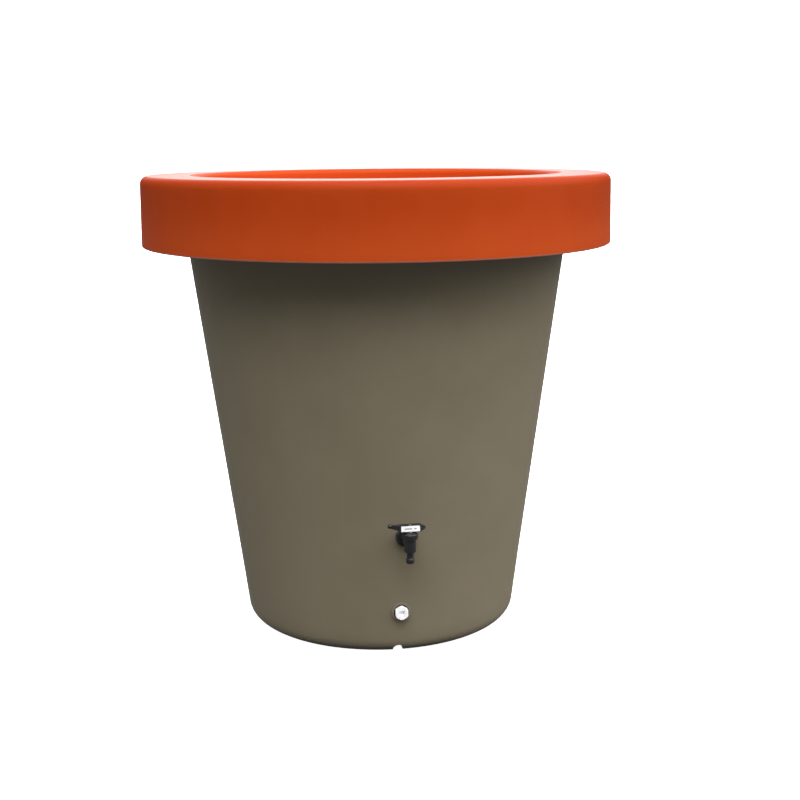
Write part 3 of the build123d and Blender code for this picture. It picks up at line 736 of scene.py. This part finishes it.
def build_woven_mesh():
    """Woven stainless wire cloth, clamped at its rim."""
    lowest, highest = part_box("strainer_mesh")
    radius = highest[0] - MESH_MARGIN
    middle_z = (lowest[2] + highest[2]) / 2
    count = int(radius / MESH_PITCH)
    bm = bmesh.new()
    for axis in (0, 1):
        for line in range(-count, count + 1):
            weave_wire(bm, axis, line, radius, middle_z)
    bmesh.ops.recalc_face_normals(bm, faces=bm.faces)
    mesh = new_object("woven_strainer_mesh", bm)
    smooth(mesh, 80)
    dress(mesh, STEEL)
    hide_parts("strainer_mesh")
    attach(mesh, "strainer")


def weave_wire(bm, axis, line, radius, middle_z):
    """One wire along X (axis 0) or Y (axis 1), over one crossing wire and under the next."""
    across = line * MESH_PITCH
    reach = math.sqrt(max(0, radius ** 2 - across ** 2))
    steps = max(2, int(2 * reach / (MESH_PITCH / 2)))
    rings = []
    for step in range(steps + 1):
        along = -reach + 2 * reach * step / steps
        lift = WIRE_R * WEAVE_LIFT * math.cos(math.pi * (along / MESH_PITCH + line + axis))
        rings.append(wire_ring(bm, axis, along, across, middle_z + lift))
    for low, high in zip(rings, rings[1:]):
        for side in range(4):
            after = (side + 1) % 4
            bm.faces.new((low[side], low[after], high[after], high[side]))
    bm.faces.new(rings[0][::-1])
    bm.faces.new(rings[-1])


def wire_ring(bm, axis, along, across, z):
    ring = []
    for side in range(4):
        angle = math.pi / 2 * side + math.pi / 4
        offset = across + WIRE_R * math.cos(angle)
        height = z + WIRE_R * math.sin(angle)
        point = (along, offset, height) if axis == 0 else (offset, along, height)
        ring.append(bm.verts.new(point))
    return ring


# ---------------------------------------------------------------- CAD pieces that stay

# Each has its material and the width in mm of the rounding on its hard edges.
FINISHES = {
    "strainer_frame": (FRAME_PLASTIC, 0.5),
    "strainer_clamp_ring": (FRAME_PLASTIC, 0.4),
    "strainer_screws": (STEEL, 0.15),
    "strainer_knob": (FRAME_PLASTIC, 0.3),
    "spigot_body": (SPIGOT_PLASTIC, 0.3),
    "spigot_outer_gasket": (SEAL_RUBBER, 0.0),
    "spigot_inner_gasket": (SEAL_RUBBER, 0.0),
    "spigot_locknut": (SPIGOT_PLASTIC, 0.3),
    "spigot_bonnet": (SPIGOT_PLASTIC, 0.25),
    "spigot_valve_plug": (WHITE_PLASTIC, 0.2),
    "spigot_o_rings": (SEAL_RUBBER, 0.0),
    "spigot_handle": (SPIGOT_PLASTIC, 0.6),
    "spigot_handle_screw": (STEEL, 0.15),
    "handle_label": (LABEL_WHITE, 0.12),
    "drain_insert": (BRASS, 0.2),
    "drain_plug": (WHITE_PLASTIC, 0.35),
    "drain_seal": (SEAL_RUBBER, 0.3),
    "overflow_fitting": (SPIGOT_PLASTIC, 0.4),
    "overflow_outer_gasket": (SEAL_RUBBER, 0.0),
    "overflow_inner_gasket": (SEAL_RUBBER, 0.0),
    "overflow_locknut": (SPIGOT_PLASTIC, 0.5),
}


def finish_cad_nodes():
    """Give each kept CAD node its material, and round its hard edges."""
    for name, (material, edge) in FINISHES.items():
        node = NODES[name]
        dress(node, material)
        if edge > 0:
            bevel = node.modifiers.new("edge", "BEVEL")
            bevel.width = edge * MM
            bevel.segments = 2
            bevel.limit_method = "ANGLE"
            bevel.angle_limit = math.radians(35)
            bevel.harden_normals = False


# ---------------------------------------------------------------- stage and light

def build_stage():
    """A round pale floor that sweeps up into a backdrop on every side."""
    outline = [(0, 0), (STAGE_CENTRE_R, 0)]
    for part in range(SWEEP_PARTS + 1):
        angle = math.radians(90) * part / SWEEP_PARTS
        outline.append((STAGE_R - STAGE_SWEEP * (1 - math.sin(angle)),
                        STAGE_SWEEP * (1 - math.cos(angle))))
    outline.append((STAGE_R, STAGE_HEIGHT))
    floor = lathe("floor", outline, segments=96)
    smooth(floor, 60)
    floor.visible_diffuse = False
    floor.visible_glossy = False
    floor.visible_shadow = False
    dress(floor, FLOOR_PAINT)


def towards(azimuth, elevation):
    """Direction in the barrel's frame; azimuth 0 is towards the camera, + is its right."""
    turn = math.radians(azimuth) - CAMERA_BEARING
    rise = math.radians(elevation)
    return (math.cos(rise) * math.sin(turn), -math.cos(rise) * math.cos(turn), math.sin(rise))


def build_light():
    """Light the scene from the world alone, with the soft panels and a glow from below."""
    world = bpy.data.worlds.new("studio")
    bpy.context.scene.world = world
    world.use_nodes = True
    tree = world.node_tree
    place = tree.nodes.new("ShaderNodeTexCoord").outputs["Generated"]
    panels = [(towards(azimuth, elevation), start, full, strength)
              for azimuth, elevation, start, full, strength in SOFT_PANELS]
    panels.append(((0, 0, -1), 0.0, GROUND_EDGE, GROUND_GLOW))
    total = None
    for direction, start, full, strength in panels:
        dot = tree.nodes.new("ShaderNodeVectorMath")
        dot.operation = "DOT_PRODUCT"
        tree.links.new(place, dot.inputs[0])
        dot.inputs[1].default_value = direction
        ramp = tree.nodes.new("ShaderNodeMapRange")
        ramp.interpolation_type = "SMOOTHSTEP"
        ramp.inputs["From Min"].default_value = start
        ramp.inputs["From Max"].default_value = full
        ramp.inputs["To Max"].default_value = strength
        tree.links.new(dot.outputs["Value"], ramp.inputs["Value"])
        if total is None:
            total = ramp.outputs["Result"]
            continue
        add = tree.nodes.new("ShaderNodeMath")
        tree.links.new(total, add.inputs[0])
        tree.links.new(ramp.outputs["Result"], add.inputs[1])
        total = add.outputs[0]
    back = tree.nodes["Background"]
    back.inputs["Color"].default_value = (1, 1, 1, 1)
    tree.links.new(total, back.inputs["Strength"])


bpy.context.scene.view_settings.view_transform = "Standard"
build_tank()
build_lid()
build_woven_mesh()
finish_cad_nodes()
build_stage()
build_light()
place_camera()
